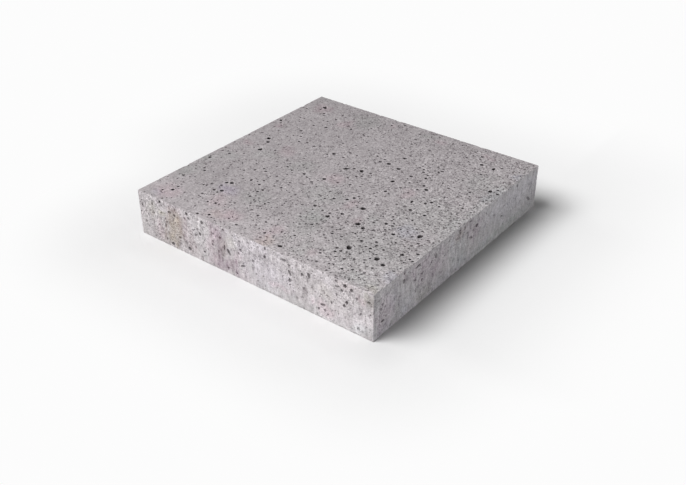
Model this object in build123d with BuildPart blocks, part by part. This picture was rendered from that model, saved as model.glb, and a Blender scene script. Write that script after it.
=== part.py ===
"""A square concrete paving slab, cast in one piece, lying on its bed face.

The slab is a flat block with square sides. Its arrises are nearly sharp, with a
few small nicks round the walking face. Air that was trapped against the mould
has left open blowholes in the walking face and in the sides.

Frame: the origin is the centre of the bed face, +Z is up through the walking
face, -Y is the front side and +X is the right side.
"""

from build123d import *
import math
import os

# Driving dimensions, in millimetres
side = 350.0  # plan size, the same both ways
thickness = 60.0  # from the bed face to the walking face
corner_radius = 0.9  # rounding of the four upright arrises
top_arris_radius = 0.7  # rounding of the arris round the walking face
bed_arris_chamfer = 0.6  # chamfer of the arris round the bed face
blowhole_depth_ratio = 0.42  # depth of a blowhole over the width of its mouth
nick_depth_ratio = 0.12  # depth of an arris nick over its length

# Blowholes of the walking face: per cent of the side from the left edge and
# from the front edge, then the width of the mouth in millimetres
walking_face_blowholes = [
    (8.2, 92.3, 5.0),
    (8.9, 57.4, 5.0),
    (12.5, 48.4, 4.6),
    (22.0, 23.4, 3.8),
    (23.1, 17.4, 3.8),
    (9.3, 7.6, 3.6),
    (36.4, 62.4, 4.2),
    (46.8, 55.9, 5.4),
    (52.3, 57.8, 4.8),
    (45.6, 45.3, 4.2),
    (58.9, 75.2, 4.2),
    (56.8, 68.4, 4.4),
    (61.8, 67.3, 4.4),
    (65.4, 58.5, 4.4),
    (77.9, 60.6, 4.0),
    (68.4, 37.3, 5.6),
    (72.7, 28.6, 5.0),
    (75.7, 27.3, 4.2),
    (62.1, 26.3, 4.2),
    (93.1, 34.4, 5.0),
    (79.1, 15.6, 5.4),
    (89.6, 15.6, 5.0),
    (93.0, 14.1, 4.0),
    (61.8, 4.2, 4.2),
    (95.4, 73.0, 4.4),
    (88.6, 87.7, 4.2),
]

# Blowholes of a side: per cent of the side from its left end, per cent of the
# thickness up from the bed face, then the width of the mouth in millimetres
front_side_blowholes = [
    (15.0, 80.0, 3.4),
    (17.6, 78.0, 3.4),
    (24.4, 82.0, 3.0),
    (29.0, 61.0, 3.4),
    (42.2, 50.0, 4.0),
    (47.4, 66.0, 3.2),
    (65.6, 84.0, 3.8),
    (68.2, 62.0, 3.4),
    (75.6, 79.0, 4.0),
    (89.3, 86.0, 3.8),
    (90.1, 58.0, 3.4),
    (81.2, 29.0, 3.4),
]
right_side_blowholes = [
    (4.9, 66.0, 3.4),
    (15.4, 79.0, 3.4),
    (23.0, 85.0, 3.8),
    (25.4, 65.0, 3.6),
    (32.9, 78.0, 4.0),
    (31.0, 42.0, 3.6),
    (46.8, 82.0, 3.6),
    (57.5, 74.0, 3.6),
    (53.6, 57.0, 3.4),
    (84.8, 84.0, 3.6),
    (95.0, 37.0, 4.0),
]

# Nicks in the top arris: per cent of the side from the left end of that side,
# then the length of the nick in millimetres
front_arris_nicks = [(31.0, 7.0), (58.3, 9.0), (69.5, 7.0), (96.5, 10.0)]
right_arris_nicks = [(15.4, 9.0), (53.2, 10.0), (72.6, 8.0), (80.0, 11.0)]
back_arris_nicks = [(24.0, 8.0), (61.0, 10.0), (88.0, 7.0)]
left_arris_nicks = [(12.0, 10.0), (45.0, 7.0), (77.0, 9.0)]


def side_plane(turn):
    """Plane of a side, with its origin at the middle of the side's foot. X runs
    to the right as seen from outside, Y runs up and Z points out. The front
    side is turn 0, the right side 90, the back 180 and the left 270."""
    angle = math.radians(turn)
    outward = Vector(math.sin(angle), -math.cos(angle), 0)
    along = Vector(math.cos(angle), math.sin(angle), 0)
    return Plane(origin=outward * (side / 2), x_dir=along, z_dir=outward)


def cap_radius(width, depth):
    """Radius of the sphere that dips by depth inside a circle of that width."""
    return (width**2 / 4 + depth**2) / (2 * depth)


def cut_blowholes(face_plane, width, height, blowholes):
    """Cuts round pits into a face. face_plane starts at the face's lower left
    corner, and width and height are the size of the face."""
    for across, up, mouth in blowholes:
        depth = mouth * blowhole_depth_ratio
        radius = cap_radius(mouth, depth)
        middle = (width * across / 100, height * up / 100, radius - depth)
        with Locations(face_plane * Location(middle)):
            Sphere(radius, mode=Mode.SUBTRACT)


def cut_nicks(turn, nicks):
    """Cuts shallow scars along the top arris of one side. Each is the cap of a
    sphere whose centre lies outside both faces, straight out from the arris."""
    plane = side_plane(turn)
    for along, length in nicks:
        depth = length * nick_depth_ratio
        radius = cap_radius(length, depth)
        outside = (radius - depth) / math.sqrt(2)
        middle = (side * (along / 100 - 0.5), thickness + outside, outside)
        with Locations(plane * Location(middle)):
            Sphere(radius, mode=Mode.SUBTRACT)


def corner_plane(turn):
    """Plane of a side, with its origin at the lower left corner of the side."""
    return side_plane(turn) * Location((-side / 2, 0, 0))


with BuildPart() as paving_slab:
    # The cast block
    with BuildSketch(Plane.XY):
        RectangleRounded(side, side, corner_radius)
    extrude(amount=thickness)
    fillet(faces().sort_by(Axis.Z)[-1].edges(), top_arris_radius)
    chamfer(faces().sort_by(Axis.Z)[0].edges(), bed_arris_chamfer)

    # Blowholes in the walking face
    walking_face = Plane.XY.offset(thickness) * Location((-side / 2, -side / 2, 0))
    cut_blowholes(walking_face, side, side, walking_face_blowholes)

    # Blowholes in the sides
    for turn, blowholes in (
        (0, front_side_blowholes),
        (90, right_side_blowholes),
        (180, front_side_blowholes),
        (270, right_side_blowholes),
    ):
        cut_blowholes(corner_plane(turn), side, thickness, blowholes)

    # Nicks along the top arris
    cut_nicks(0, front_arris_nicks)
    cut_nicks(90, right_arris_nicks)
    cut_nicks(180, back_arris_nicks)
    cut_nicks(270, left_arris_nicks)

paving_slab.part.label = "paving_slab"

os.makedirs("parts", exist_ok=True)
export_step(paving_slab.part, "parts/paving_slab.step")
print("volume, cubic metres:", round(paving_slab.part.volume / 1e9, 6))
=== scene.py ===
# %% [markdown]
# # A cast concrete paving slab
#
# The real slab is one casting, 350 mm square and 60 mm thick. What makes it look like concrete is
# small: blowholes where air was trapped against the mould, thousands of pinholes between the sand
# grains, nicked arrises and a skin that is blotched where the cement milk dried unevenly. The CAD
# block gives the size and the place. This lesson builds the skin round it, and then its finish.

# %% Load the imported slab
import math
import random
from collections import namedtuple

import bpy
import numpy as np
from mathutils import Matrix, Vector, geometry, noise


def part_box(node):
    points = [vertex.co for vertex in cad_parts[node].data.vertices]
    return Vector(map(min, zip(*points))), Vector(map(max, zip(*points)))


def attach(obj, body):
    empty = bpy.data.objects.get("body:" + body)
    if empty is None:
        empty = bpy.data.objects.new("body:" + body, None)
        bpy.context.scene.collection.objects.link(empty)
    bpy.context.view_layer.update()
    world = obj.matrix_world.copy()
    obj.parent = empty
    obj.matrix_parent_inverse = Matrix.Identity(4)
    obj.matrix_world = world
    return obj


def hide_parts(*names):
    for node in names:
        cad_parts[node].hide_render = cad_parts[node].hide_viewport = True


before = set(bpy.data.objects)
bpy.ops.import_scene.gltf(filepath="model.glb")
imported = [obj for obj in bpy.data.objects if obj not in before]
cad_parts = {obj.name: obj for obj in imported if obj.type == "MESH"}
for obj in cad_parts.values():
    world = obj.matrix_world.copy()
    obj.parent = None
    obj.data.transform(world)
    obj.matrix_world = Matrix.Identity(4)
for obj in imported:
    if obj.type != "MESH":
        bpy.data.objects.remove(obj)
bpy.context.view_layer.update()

MM = 0.001
slab_low, slab_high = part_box("paving_slab")
side = (slab_high.x - slab_low.x) / MM
thickness = (slab_high.z - slab_low.z) / MM
half = side / 2
print("slab in millimetres:", round(side, 2), "square,", round(thickness, 2), "thick")

# %% [markdown]
# ## The camera
#
# A camera can be set by eye or worked out from the picture. Here the six outline corners of the slab
# were enough to work it out: it looks down by a third of a right angle, with the nearest corner a
# little right of the middle. The focal length is kept in pixels of the picture, because that is how
# it was found, and is turned into the millimetres that a lens is sold by. The point it looks at and
# its distance are shares of the slab's side.

# %% Set the camera
picture_wide, focal_pixels = 686, 910.3
azimuth, elevation = 37.78, 32.63
looked_at_right, looked_at_back = 0.1773, -0.2282
camera_distance = 2.9863


def direction(bearing, height):
    """A unit vector from a bearing, in degrees from +X towards +Y, and degrees above the floor."""
    bearing, height = math.radians(bearing), math.radians(height)
    level = math.cos(height)
    return Vector((math.cos(bearing) * level, math.sin(bearing) * level, math.sin(height)))


toward_camera = direction(azimuth - 90, elevation)
looked_at = Vector((looked_at_right * side, looked_at_back * side, thickness / 2)) * MM
distance = camera_distance * side * MM

camera = bpy.data.objects.new("camera", bpy.data.cameras.new("camera"))
camera.data.sensor_width = 36
camera.data.lens = focal_pixels * camera.data.sensor_width / picture_wide
camera.location = looked_at + toward_camera * distance
camera.rotation_euler = toward_camera.to_track_quat("Z", "Y").to_euler()
bpy.context.collection.objects.link(camera)
bpy.context.scene.camera = camera
print("lens:", round(camera.data.lens, 2), "mm at", round(distance, 3), "m")

# %% [markdown]
# ## Six sheets for one skin
#
# A pore is a few millimetres wide on a face of 350, so an even grid fine enough for it would need
# millions of faces. Instead each face is a flat sheet of points that is triangulated where the points
# are: dense round a pore and along a worn arris, sparse between. A sheet has a corner, a direction
# along and a direction up, seen from outside, so that the same code serves all six faces. Its steps
# are how far apart the points lie along its foot, its right edge, its top and its left edge.

# %% Lay out the six sheets
Sheet = namedtuple("Sheet", "name corner along up wide high steps")
top_step, upright_step, bed_step = 1.3, 1.7, 4


def flat_sheet(name, up_way, height, step):
    """The walking face, whose up is +Y, or the bed, whose up is -Y."""
    corner = np.array((-half, -half * up_way, height))
    return Sheet(name, corner, np.array((1, 0, 0)), np.array((0, up_way, 0)), side, side, (step,) * 4)


def side_sheet(name, turn):
    """The sheet of a side. The front side is turn 0, the right side 90 degrees."""
    angle = math.radians(turn)
    outward = np.array((math.sin(angle), -math.cos(angle), 0))
    along = np.array((math.cos(angle), math.sin(angle), 0))
    steps = (bed_step, upright_step, top_step, upright_step)
    return Sheet(name, (outward - along) * half, along, np.array((0, 0, 1)), side, thickness, steps)


walking = flat_sheet("walking", 1, thickness, top_step)
bed = flat_sheet("bed", -1, 0, bed_step)
sides = [side_sheet(name, 90 * n) for n, name in enumerate(("front", "right", "back", "left"))]
sheets = [walking, *sides, bed]
print("sheets:", [sheet.name for sheet in sheets])

# %% [markdown]
# ## Where the pores are
#
# Random pores alone would never give this slab, because the eye knows the big ones by their places.
# So the large ones are listed as they lie on the real face, in millimetres from its left and
# its lower edge, with the width of the mouth. A pore that was drawn out as the mould was pulled also
# has a stretch and a turn. They are sorted by how deep they look, from bubbles with a black floor to
# shallow dimples. The small ones are too many to list, and nobody knows them by their places, so they
# are scattered, thicker where the real face has more.

# %% Pores that are listed
walking_pores = {
    "deep": [
        (28.6, 322.6, 5.4), (31, 200.8, 5.2), (43.7, 169.4, 5), (77.2, 81.9, 4.2), (80.7, 61, 4.2),
        (32.6, 26.6, 3.8), (127.2, 218.2, 4.6), (164.4, 196, 4.5, 1.6, 40), (171.8, 202.4, 3),
        (159.4, 158.5, 4.4), (206.2, 263.3, 4.4), (216.2, 235.6, 4.6), (198.6, 239, 4.8),
        (183.4, 202.4, 4.4, 1.4, -38), (228.8, 204.6, 4.6), (239.4, 229, 3.6), (272.5, 212.1, 4.6),
        (265.1, 218.4, 3.3), (239.4, 130.4, 5.8), (255, 99.6, 5.5), (265, 95.6, 4.4), (217.7, 91.5, 4.6),
        (276.9, 54.4, 5, 1.4, -50), (313.5, 55, 5.6), (325.3, 49.6, 4.4), (335.4, 255, 4.6),
        (346, 254.4, 4), (310, 307, 3.4, 1.8, -70), (325, 120, 4.2, 1.9, 85), (216.2, 11.3, 4.4),
        (70.2, 272.8, 3.6), (7, 252.6, 3.2, 1.5, -48), (12, 246.6, 3), (236.2, 179, 3.4),
        (275, 177.6, 3, 1.7, -72), (294.3, 190, 3.6), (290.2, 183.6, 3.4), (284.4, 161, 4), (304, 161, 3.8),
        (299.1, 106, 4), (330.3, 78, 4), (279.6, 73.5, 3.8), (296.3, 67.2, 3.2), (242.3, 252.8, 3.2),
        (245.4, 247.2, 3.4), (71.5, 78.7, 3.6), (131.9, 153.5, 3.6), (151.9, 143.1, 3.5),
        (83.5, 133.2, 2.8), (106.3, 99.3, 3), (118.3, 91.6, 3.2), (116, 85.2, 3), (116.6, 71.6, 3),
        (273.8, 43.8, 3.2), (269.7, 39.4, 3), (108.4, 11.6, 3.4), (95.9, 5.3, 3), (216.6, 143.6, 3.6),
        (212.1, 135.7, 3.4), (280, 119.3, 3.9), (288.3, 119.7, 3.4), (281.9, 327.5, 3.8),
        (292.5, 308.2, 4.4), (175, 247.2, 3),
    ],
    "plain": [
        (65.3, 316.5, 3.8), (40.2, 306.2, 3.6), (44.3, 301.2, 3.2), (65.6, 301, 3.4), (10.6, 304.1, 3.2),
        (4.4, 303.8, 2.6), (8.7, 293.2, 2.8), (92.5, 338.1, 3.2), (152.5, 343.1, 3.8), (137.2, 332.7, 3.4),
        (100.8, 289.2, 3.2), (121.2, 307.4, 3), (123.2, 286.2, 2.8), (126.4, 277.4, 2.8), (140.6, 271, 3),
        (60, 288.6, 2.8), (53.1, 267.6, 3.4), (19, 239.8, 2.8), (61.2, 230.7, 3.2), (79.7, 221.9, 3.6),
        (69, 217.7, 3.2), (93.2, 219.3, 3.8), (121.5, 211.5, 3.2), (142.5, 233, 3.8), (117.8, 248.5, 2.6),
        (37.5, 191.9, 4.8), (3.4, 193, 3), (61.2, 179.4, 3), (172, 253.8, 2.8), (190.6, 302.5, 3.6),
        (218.5, 301.8, 3.6), (228.8, 293.5, 3), (208.1, 273.4, 3.4), (253.1, 269, 3), (263.2, 262.8, 4),
        (260.6, 257.9, 3.2), (236.2, 259.4, 2.8), (254.4, 243.5, 3.2), (256.4, 235.6, 4),
        (247.1, 213.7, 3.2), (264.6, 205.6, 3.8), (187, 236.9, 4), (188, 245.9, 3.2), (196, 204, 3.6),
        (191.2, 191.9, 3.4), (186.5, 187, 3, 1.4, -60), (245.6, 197.2, 3.2), (259.4, 192.2, 2.8),
        (243, 176.2, 3), (306.6, 187.2, 3.2), (300, 209.6, 2.2, 2.8, -72), (330, 201.2, 3.4),
        (317.1, 238.4, 3.6), (308, 230.6, 2.8), (292.2, 231.3, 3.6), (295.6, 258.2, 3.2),
        (341.2, 262.9, 3.4), (327.5, 261.9, 3), (305.1, 285, 3.4), (317.5, 314.6, 3.4), (280.6, 299.4, 3.4),
        (266.6, 313.9, 3.4), (268.1, 333.7, 3.2), (8.1, 114, 4.4), (22.9, 89.4, 3.2), (28.5, 84.5, 3.6),
        (16.2, 60.2, 3.6), (31.9, 36, 3.6), (23.5, 18.8, 3.2), (71.2, 70.2, 3.6), (79.1, 55.1, 3),
        (76.6, 123.9, 3.6), (89.8, 129, 3.6), (108.8, 128.1, 3.2), (20.6, 136.9, 4), (66.2, 114.8, 3.2),
        (103.5, 155, 3.4), (113.5, 151.5, 3.6), (139.8, 148.7, 3), (145.2, 147.4, 2.8), (132.2, 109.3, 3.5),
        (90.7, 101.9, 3.6, 1.3, -40), (99.4, 103.5, 2.6), (104.3, 110.1, 3), (96, 35.1, 3.8),
        (86.2, 31.5, 3.2), (148.2, 14.4, 3.2), (153.8, 44.4, 3.2), (170.6, 39.4, 3), (158.8, 88.1, 2.8),
        (160.6, 78.7, 2.8), (128.1, 74.4, 2.8), (128.1, 60, 3), (66.9, 42, 3.6), (193.1, 166.2, 3.4),
        (302, 170.1, 3.2), (345, 169.7, 3), (282.5, 151.2, 3), (271.2, 156.3, 2.8), (218.8, 149.6, 2.8),
        (277.5, 136.3, 3.4), (281.2, 128.1, 3), (291.9, 142.8, 3), (321, 130.6, 3), (314.7, 129.7, 2.8),
        (294, 125.6, 2.4), (198.2, 128.1, 4), (191.2, 101.5, 4, 1.3, -45), (190, 121.5, 3),
        (182.5, 122.7, 2.8), (227.5, 106.2, 4.4), (217.8, 109.4, 3), (215.6, 98.4, 3.2), (205, 98.1, 3.2),
        (276.9, 99.4, 3.8), (267.5, 112.8, 3.4), (255.6, 121, 2.8), (267.5, 119.5, 2.8), (300, 118.8, 2.8),
        (308.1, 120.3, 2.8), (337.1, 118.2, 3.2), (343.8, 117.9, 2.8), (331.6, 106.6, 3.5),
        (328.4, 98.6, 3.2), (316.3, 103.4, 2.8), (311.2, 93.2, 3.2), (307, 91, 2.4), (343.1, 89, 3.6),
        (294.1, 81.5, 3.6), (341.7, 75.6, 3), (346.2, 74.2, 3), (309, 73.2, 3.2), (290, 67.5, 3),
        (308.5, 61.3, 2.8), (256.9, 67.2, 3.4), (244.8, 66, 3.2), (261.3, 81.5, 2.8), (341, 47.3, 3.2),
        (266.9, 46.3, 3.8), (280.6, 46.2, 3), (285.6, 45, 3), (294.8, 40.1, 3.3), (320.2, 38.2, 3.2),
        (286.2, 34, 3.5), (258.8, 27.5, 3.4), (266.2, 12.6, 3.4), (295.6, 17.9, 3.4), (305.3, 23.4, 3.2),
        (319, 26.2, 3), (279.4, 17, 2.8), (196.2, 10.1, 2.8), (214.8, 37.3, 3), (198.8, 34.3, 3),
        (185, 21, 3.4),
    ],
    "shallow": [
        (92, 295, 3.6), (110, 318.8, 3), (131.9, 285.6, 2.8), (53.8, 288.2, 2.8), (40.6, 277.5, 2.8),
        (13.2, 231.9, 3), (50, 244.6, 4.4), (44.4, 246.3, 3), (56.9, 239.2, 2.8), (51, 227.5, 3),
        (99.6, 224.4, 3.6), (143.2, 217.5, 3.6), (135.6, 254.6, 3.4), (168.1, 248.8, 3),
        (156.9, 252.8, 2.4), (163.1, 213, 2.8), (150, 197.8, 2.8), (163.1, 186.9, 3.2), (13.1, 208.1, 3.2),
        (53.8, 194.4, 2.6), (38.8, 181.9, 2.6), (31.9, 178.2, 3), (64.4, 345.6, 2.6), (71.9, 314.4, 2.8),
        (84.4, 316.9, 2.8), (127.5, 315, 3.4), (148.8, 296.3, 2.8), (97.5, 260.6, 2.6), (277.5, 343.8, 2.8),
        (341, 330.6, 2.8), (257.5, 331.2, 2.6), (285.6, 308.8, 2.4, 1.5, -65), (275, 305, 2.8),
        (274.4, 326.9, 2.8), (183.1, 333.1, 3.2), (209.4, 341.2, 3.4), (187.5, 316.2, 3.6),
        (200.6, 326.2, 3), (190.6, 280.6, 3.2), (238.8, 278.8, 3.2), (235.6, 253.8, 3.2),
        (218.1, 255.6, 2.8), (239.4, 221.2, 2.6, 1.5, -50), (255, 225.6, 3), (225, 210.8, 2.8),
        (192.6, 242.7, 1.8, 1.8, -35), (178.8, 259.8, 2.8), (183.1, 253.1, 2.6), (182.5, 270, 2.6),
        (225, 230.6, 3), (198.8, 188.8, 2.8), (180, 178.8, 3.6), (249.4, 201.6, 2.8), (326, 210, 3.2),
        (342.1, 214.4, 3.4), (346.3, 226.9, 3), (342.5, 234, 3), (342.2, 242.5, 3), (304.6, 237.6, 2.2),
        (322.5, 229.4, 3), (310.6, 221.3, 2.8), (326.9, 222.5, 2.6), (293.1, 220, 3), (288.1, 214.4, 2.6),
        (279.8, 238.1, 3.2), (311.2, 246.3, 3), (322.9, 262.9, 2.6), (337.1, 269.6, 3), (310.4, 288.5, 2.8),
        (343.8, 287.5, 3.2), (331.2, 291.9, 3), (321.9, 287.5, 2.8), (326.2, 294.2, 2.6), (337, 282, 2.4),
        (282.5, 280, 2.8), (314.4, 276.2, 2.8), (340, 296.3, 2.8), (323.8, 252.5, 2.6), (25, 168.1, 3),
        (3.2, 165.2, 2.8), (4.8, 146.9, 3), (8.1, 137.8, 3), (23.8, 146.3, 2.8), (17.5, 105, 3.2),
        (17.8, 97.5, 3), (15.6, 32.9, 2.8), (49, 30.4, 3), (59.4, 66.3, 3.2), (53.1, 58.1, 3.2),
        (71.9, 56.9, 3.8), (79.8, 48.6, 3.2), (71.2, 88.8, 3), (56.9, 94.4, 3), (56.9, 89.4, 2.2),
        (43.8, 101.3, 3), (43.8, 115, 2.8), (66.9, 137.5, 2.8), (92.5, 166.9, 3.2), (100.6, 163.1, 3.4),
        (120.4, 166.3, 2.6), (125.2, 166.2, 2.6), (116.3, 138.8, 3), (148.8, 131.3, 2.8),
        (132.5, 125.6, 3.4), (121.3, 126.5, 3.2), (117.5, 119.4, 4), (98.1, 121.9, 2.6), (103.1, 118.1, 3),
        (123.1, 107.5, 3.4), (156.9, 106.9, 3.4), (111.9, 82.5, 2.6), (121.3, 76.3, 2.8),
        (134.4, 68.8, 2.6), (129.4, 66.5, 2.8), (138.6, 59.4, 2.6), (142.4, 61.2, 2.4), (142.5, 68.8, 3.2),
        (139.4, 49.4, 3.8), (113.5, 48.8, 3.4), (107.9, 46.3, 2.6), (86.2, 38.3, 2.6), (166.3, 27.5, 3.2),
        (166.9, 90, 2.8), (167.5, 98.1, 2.4), (170.6, 81.9, 2.8), (156.9, 33.1, 1.8, 2.2, -45),
        (122.5, 6.3, 2.8), (66.9, 18.1, 3), (38.1, 4.6, 3), (15.6, 81.9, 2.8), (171.3, 113.8, 3.2),
        (165, 122.5, 2.6), (75.9, 33.8, 2.6), (51.9, 127.8, 1.4, 5, -50), (178.1, 161.3, 4),
        (243.1, 168.8, 2.8), (228.8, 166.9, 2.8), (235, 161.9, 2.4, 1.5, -55),
        (293.8, 159.4, 2.2, 2.2, -52), (326.3, 156.9, 2, 2.4, -55), (275.6, 163.1, 2.8),
        (264.4, 161.9, 3.2), (247.5, 146.9, 3.4), (250, 140.6, 2.6), (276.3, 143.3, 2.8),
        (306.3, 138.1, 2.8), (295.6, 130.4, 2.8), (191.9, 138.8, 2.6), (184.4, 138.1, 2.8),
        (188.1, 116.6, 2.4), (184.4, 110.6, 3.2), (178.1, 94.4, 3.4), (210.6, 95.6, 2.8),
        (237.5, 108.1, 3.4), (243.1, 93.1, 3.2), (243.1, 85, 3), (272.7, 92.6, 2.4),
        (282.5, 110.6, 2, 1.5, -45), (318.8, 114.1, 4), (346.5, 125, 2.8), (291.3, 100.6, 2.8),
        (291.6, 89, 3), (286, 87, 2.8), (315, 80, 2.4), (323.1, 79.4, 2.4), (321.3, 74.8, 2.4),
        (287.6, 63.2, 2.4), (287.5, 58.6, 2.6), (336.3, 68.1, 3.2), (236.9, 76.6, 3.8), (246.9, 78.5, 3.2),
        (215, 66.9, 3.4), (208.6, 63.8, 2.8), (193.8, 72.3, 3), (189.4, 78.1, 3), (200.6, 85, 3),
        (216.9, 81.9, 3), (232, 59.4, 2.8), (239.4, 58.1, 3.2), (244.6, 54.2, 3), (260, 61.6, 2.8),
        (305, 45.6, 3.8), (313.8, 36.3, 3), (306.5, 33.8, 2.2), (321.3, 45.6, 3), (293.1, 53.1, 3.4),
        (203.8, 33.6, 2.6), (208.1, 43.8, 2.8), (258.8, 33.4, 2.8), (231.3, 25, 2.8), (187.5, 11.3, 3.4),
        (241.9, 9.4, 2.8), (247.5, 9.4, 2.6), (234.4, 12.5, 2.8), (273.1, 5.2, 3), (285, 5.6, 3),
        (298.1, 4.4, 2.8), (313.8, 6.3, 3), (331.9, 29.4, 2.8), (340.6, 22.5, 2.4), (338.1, 39.4, 3),
        (302.5, 12.5, 2.4), (319.4, 15.6, 2.4),
    ],
}
front_pores = {
    "deep": [
        (37.5, 56.6, 3.4), (53, 47.8, 3.2, 1.9, 12), (54, 4.6, 4.2, 1.2, 0), (82.5, 56.4, 3.8),
        (85.6, 50.8, 3.8), (82.6, 8.8, 4.6), (107.2, 53.5, 4.2), (102.3, 36.6, 3.8),
        (141.2, 34, 2.2, 3.2, 88), (147.4, 29.8, 4.2, 1.7, -62), (166.3, 40, 3.8),
        (168.8, 19.6, 2.6, 3, 24), (203.8, 56.9, 3.4), (203, 45.8, 3.8), (229.8, 52.8, 2.8, 3, 8),
        (238.4, 39.8, 3.2, 1.9, -58), (238.5, 30.4, 4), (256, 45, 3.8), (264.8, 47.4, 3.2, 2, -85),
        (284, 17.8, 3.8, 1.3, 20), (313, 54.9, 4.2), (309, 47.6, 3.4), (321.5, 53, 3.8), (315.6, 35, 3.8),
        (312.4, 29.6, 3, 1.4, 70),
    ],
    "plain": [
        (24, 49.8, 2.8, 2.1, 72), (5.6, 41.5, 3.4), (61.3, 46.4, 3.8), (63, 54.8, 3.4), (78.4, 48.8, 3.2),
        (95.3, 32.2, 4.2), (107.8, 14.4, 3.6), (68, 18.5, 4), (141, 57, 3.2), (163.4, 34.2, 3.4),
        (165.6, 51, 3.2), (204.4, 50.2, 2.6, 1.4, 20), (237.6, 49.6, 2.4, 1.9, 15),
        (225, 36.6, 2.6, 1.9, -20), (184.6, 33, 3.6), (302, 56.4, 3.6), (303.4, 50.2, 2.6, 2.4, 20),
        (314.6, 49, 2.8), (302.5, 39.4, 2.4, 1.8, 85), (329, 45.6, 3.6), (334, 28.8, 2.8, 1.7, 55),
        (343.8, 47.4, 3, 1.7, 20), (331, 8.2, 3.6, 1.4, 50), (286.6, 12, 3.4), (278.5, 11, 3.2),
        (290.6, 8.2, 2.8), (295.6, 26.3, 3.2), (323.8, 39.4, 2, 2.2, 85), (44.2, 27, 2.8, 2.2, 85),
        (44.6, 8, 2.8, 1.9, 85),
    ],
    "shallow": [
        (16.5, 42.4, 1.4, 5, 20), (13, 48, 3.4), (11.2, 34, 3.2), (25.6, 37.5, 3.2), (10, 20, 4.6),
        (39, 42.2, 4.2), (73.2, 51, 2.8), (85.6, 39.6, 3.8), (99, 42, 3.8), (101, 55.2, 3.6),
        (93.8, 15, 3.8), (103.2, 21.4, 3), (103.2, 5.2, 3.6), (38.2, 20, 3.8), (32, 9, 3.2),
        (45, 36.6, 3.2), (62.4, 36.4, 2.4), (130, 52, 3.8), (125, 45.4, 3.6), (135.4, 44, 4.4),
        (132, 24.6, 4.6), (155, 37.2, 2.8), (165.4, 45.8, 2.8), (158.8, 5.6, 3.6), (146, 7, 4.2),
        (137, 15.6, 3.6, 1.8, 85), (151.2, 48.8, 2.8), (153.2, 43.6, 2.8), (114.4, 20.2, 2.8),
        (123, 17.6, 2.8, 1.5, 85), (123.2, 35.2, 3), (217, 57, 3), (238.8, 24.6, 3), (255.2, 15.2, 3.8),
        (248.8, 10.6, 4.6), (177.8, 30.2, 3), (184.4, 22.4, 3.2, 1.9, 88), (183.8, 50.2, 3),
        (188.8, 17.4, 2.8), (228, 29, 2.4, 1.6, 10), (200, 18.8, 3), (258.4, 27.4, 4.8), (256.8, 22, 2.8),
        (332.8, 14.6, 2, 1.9, 80), (346.8, 13.8, 3), (300.6, 17.8, 2.8), (305.2, 15, 2.4, 1.7, 85),
        (315, 15.6, 2.4, 1.7, 85), (327, 25.6, 2.8), (281.2, 47, 3.4), (274, 30.2, 3), (285.4, 36, 3.2),
        (291, 32, 2.8), (280.2, 27, 2.8), (288, 24.6, 2.6), (212.6, 40.8, 2.8), (194.4, 42.6, 2.8),
        (191, 8.6, 3.4), (219.4, 11.8, 3.2), (248.2, 36, 2.8), (270.6, 16.6, 3), (346.6, 33, 2.8),
    ],
}
right_pores = {
    "deep": [
        (16.9, 18, 3, 1.9, -12), (22.3, 21.6, 2.8, 1.2, -40), (54.4, 56.8, 3.4), (53.8, 46.9, 4, 1.3, -60),
        (80, 52.4, 2.8, 3, 6), (115.2, 46.9, 4.2, 1.4, -65), (89, 38.8, 4), (331, 21, 3, 4.4, -36),
        (202, 43.8, 4.4, 1.2, -35),
    ],
    "plain": [
        (16.2, 40, 3, 1.5, -15), (13, 34.8, 3, 1.7, -35), (75, 36.9, 2.8, 1.9, -30), (89, 30.2, 3.8),
        (107, 44, 3.6), (163.8, 53.6, 3.6, 1.7, -60), (157.4, 47, 2.4, 3, -25),
        (189.4, 33.8, 2.6, 3.4, -28), (187.2, 56.4, 2.8, 2.2, -22), (296.2, 55, 3.4, 1.7, -52),
        (261.2, 28.2, 2.8, 1.8, -30),
    ],
    "shallow": [
        (36.4, 33.6, 2.6, 2.2, -65), (38.8, 42.6, 1.8, 3.6, 88), (34.4, 23.8, 2.4, 3, 88), (28.8, 30.2, 3),
        (109.4, 24.4, 4.2, 1.8, -70), (103.2, 14.8, 4, 1.7, -80), (153.2, 22.6, 4.2), (193.6, 41.6, 3.6),
        (179.2, 44, 3.6), (280, 57, 2.6, 2.4, 0), (265, 40, 3.2, 1.5, -30), (267.6, 16.2, 3.8, 1.5, -80),
        (327.4, 42.6, 3.4), (9.2, 48.2, 3.6), (63.2, 10.2, 3.6), (194.2, 18, 2.8), (95.8, 52.6, 3.6),
        (66.4, 27.2, 3), (132.4, 37.4, 3.6), (141, 52.8, 3.2), (125.8, 13.4, 3.4), (222, 50.4, 3),
        (240.6, 38.8, 3), (308.2, 36.4, 3.2), (45.2, 13.2, 3.4), (5.2, 26.8, 3),
    ],
}
print("placed by hand on the walking face:", sum(len(pores) for pores in walking_pores.values()))

# %% [markdown]
# ## Scattering the small ones
#
# Darts are thrown at each sheet. A dart that lands too near another pore is thrown away, and so is
# one that a soft map of the density refuses, so that pores gather as they do in real concrete. Every
# throw comes from a seeded generator, so the slab is the same each time. The back and the left side
# aren't known, so they get the same kinds of pores as the two sides that are.

# %% Throw the darts
Pore = namedtuple("Pore", "across up mouth stretch turn depth dark")
kinds = ("deep", "plain", "shallow")
# In millimetres: the least land between two rims, and between a rim and the edge of the sheet
rim_gap, edge_band = 0.45, 1
# Pores are looked up in square cells of that many millimetres, this many cells each way
map_cell, cells_to_search = 7, 2
tries_for_each = 30
# The mouth of a pore over the part of it that looks dark
lip = {"deep": 1.20, "plain": 1.10, "shallow": 1.08}


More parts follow.
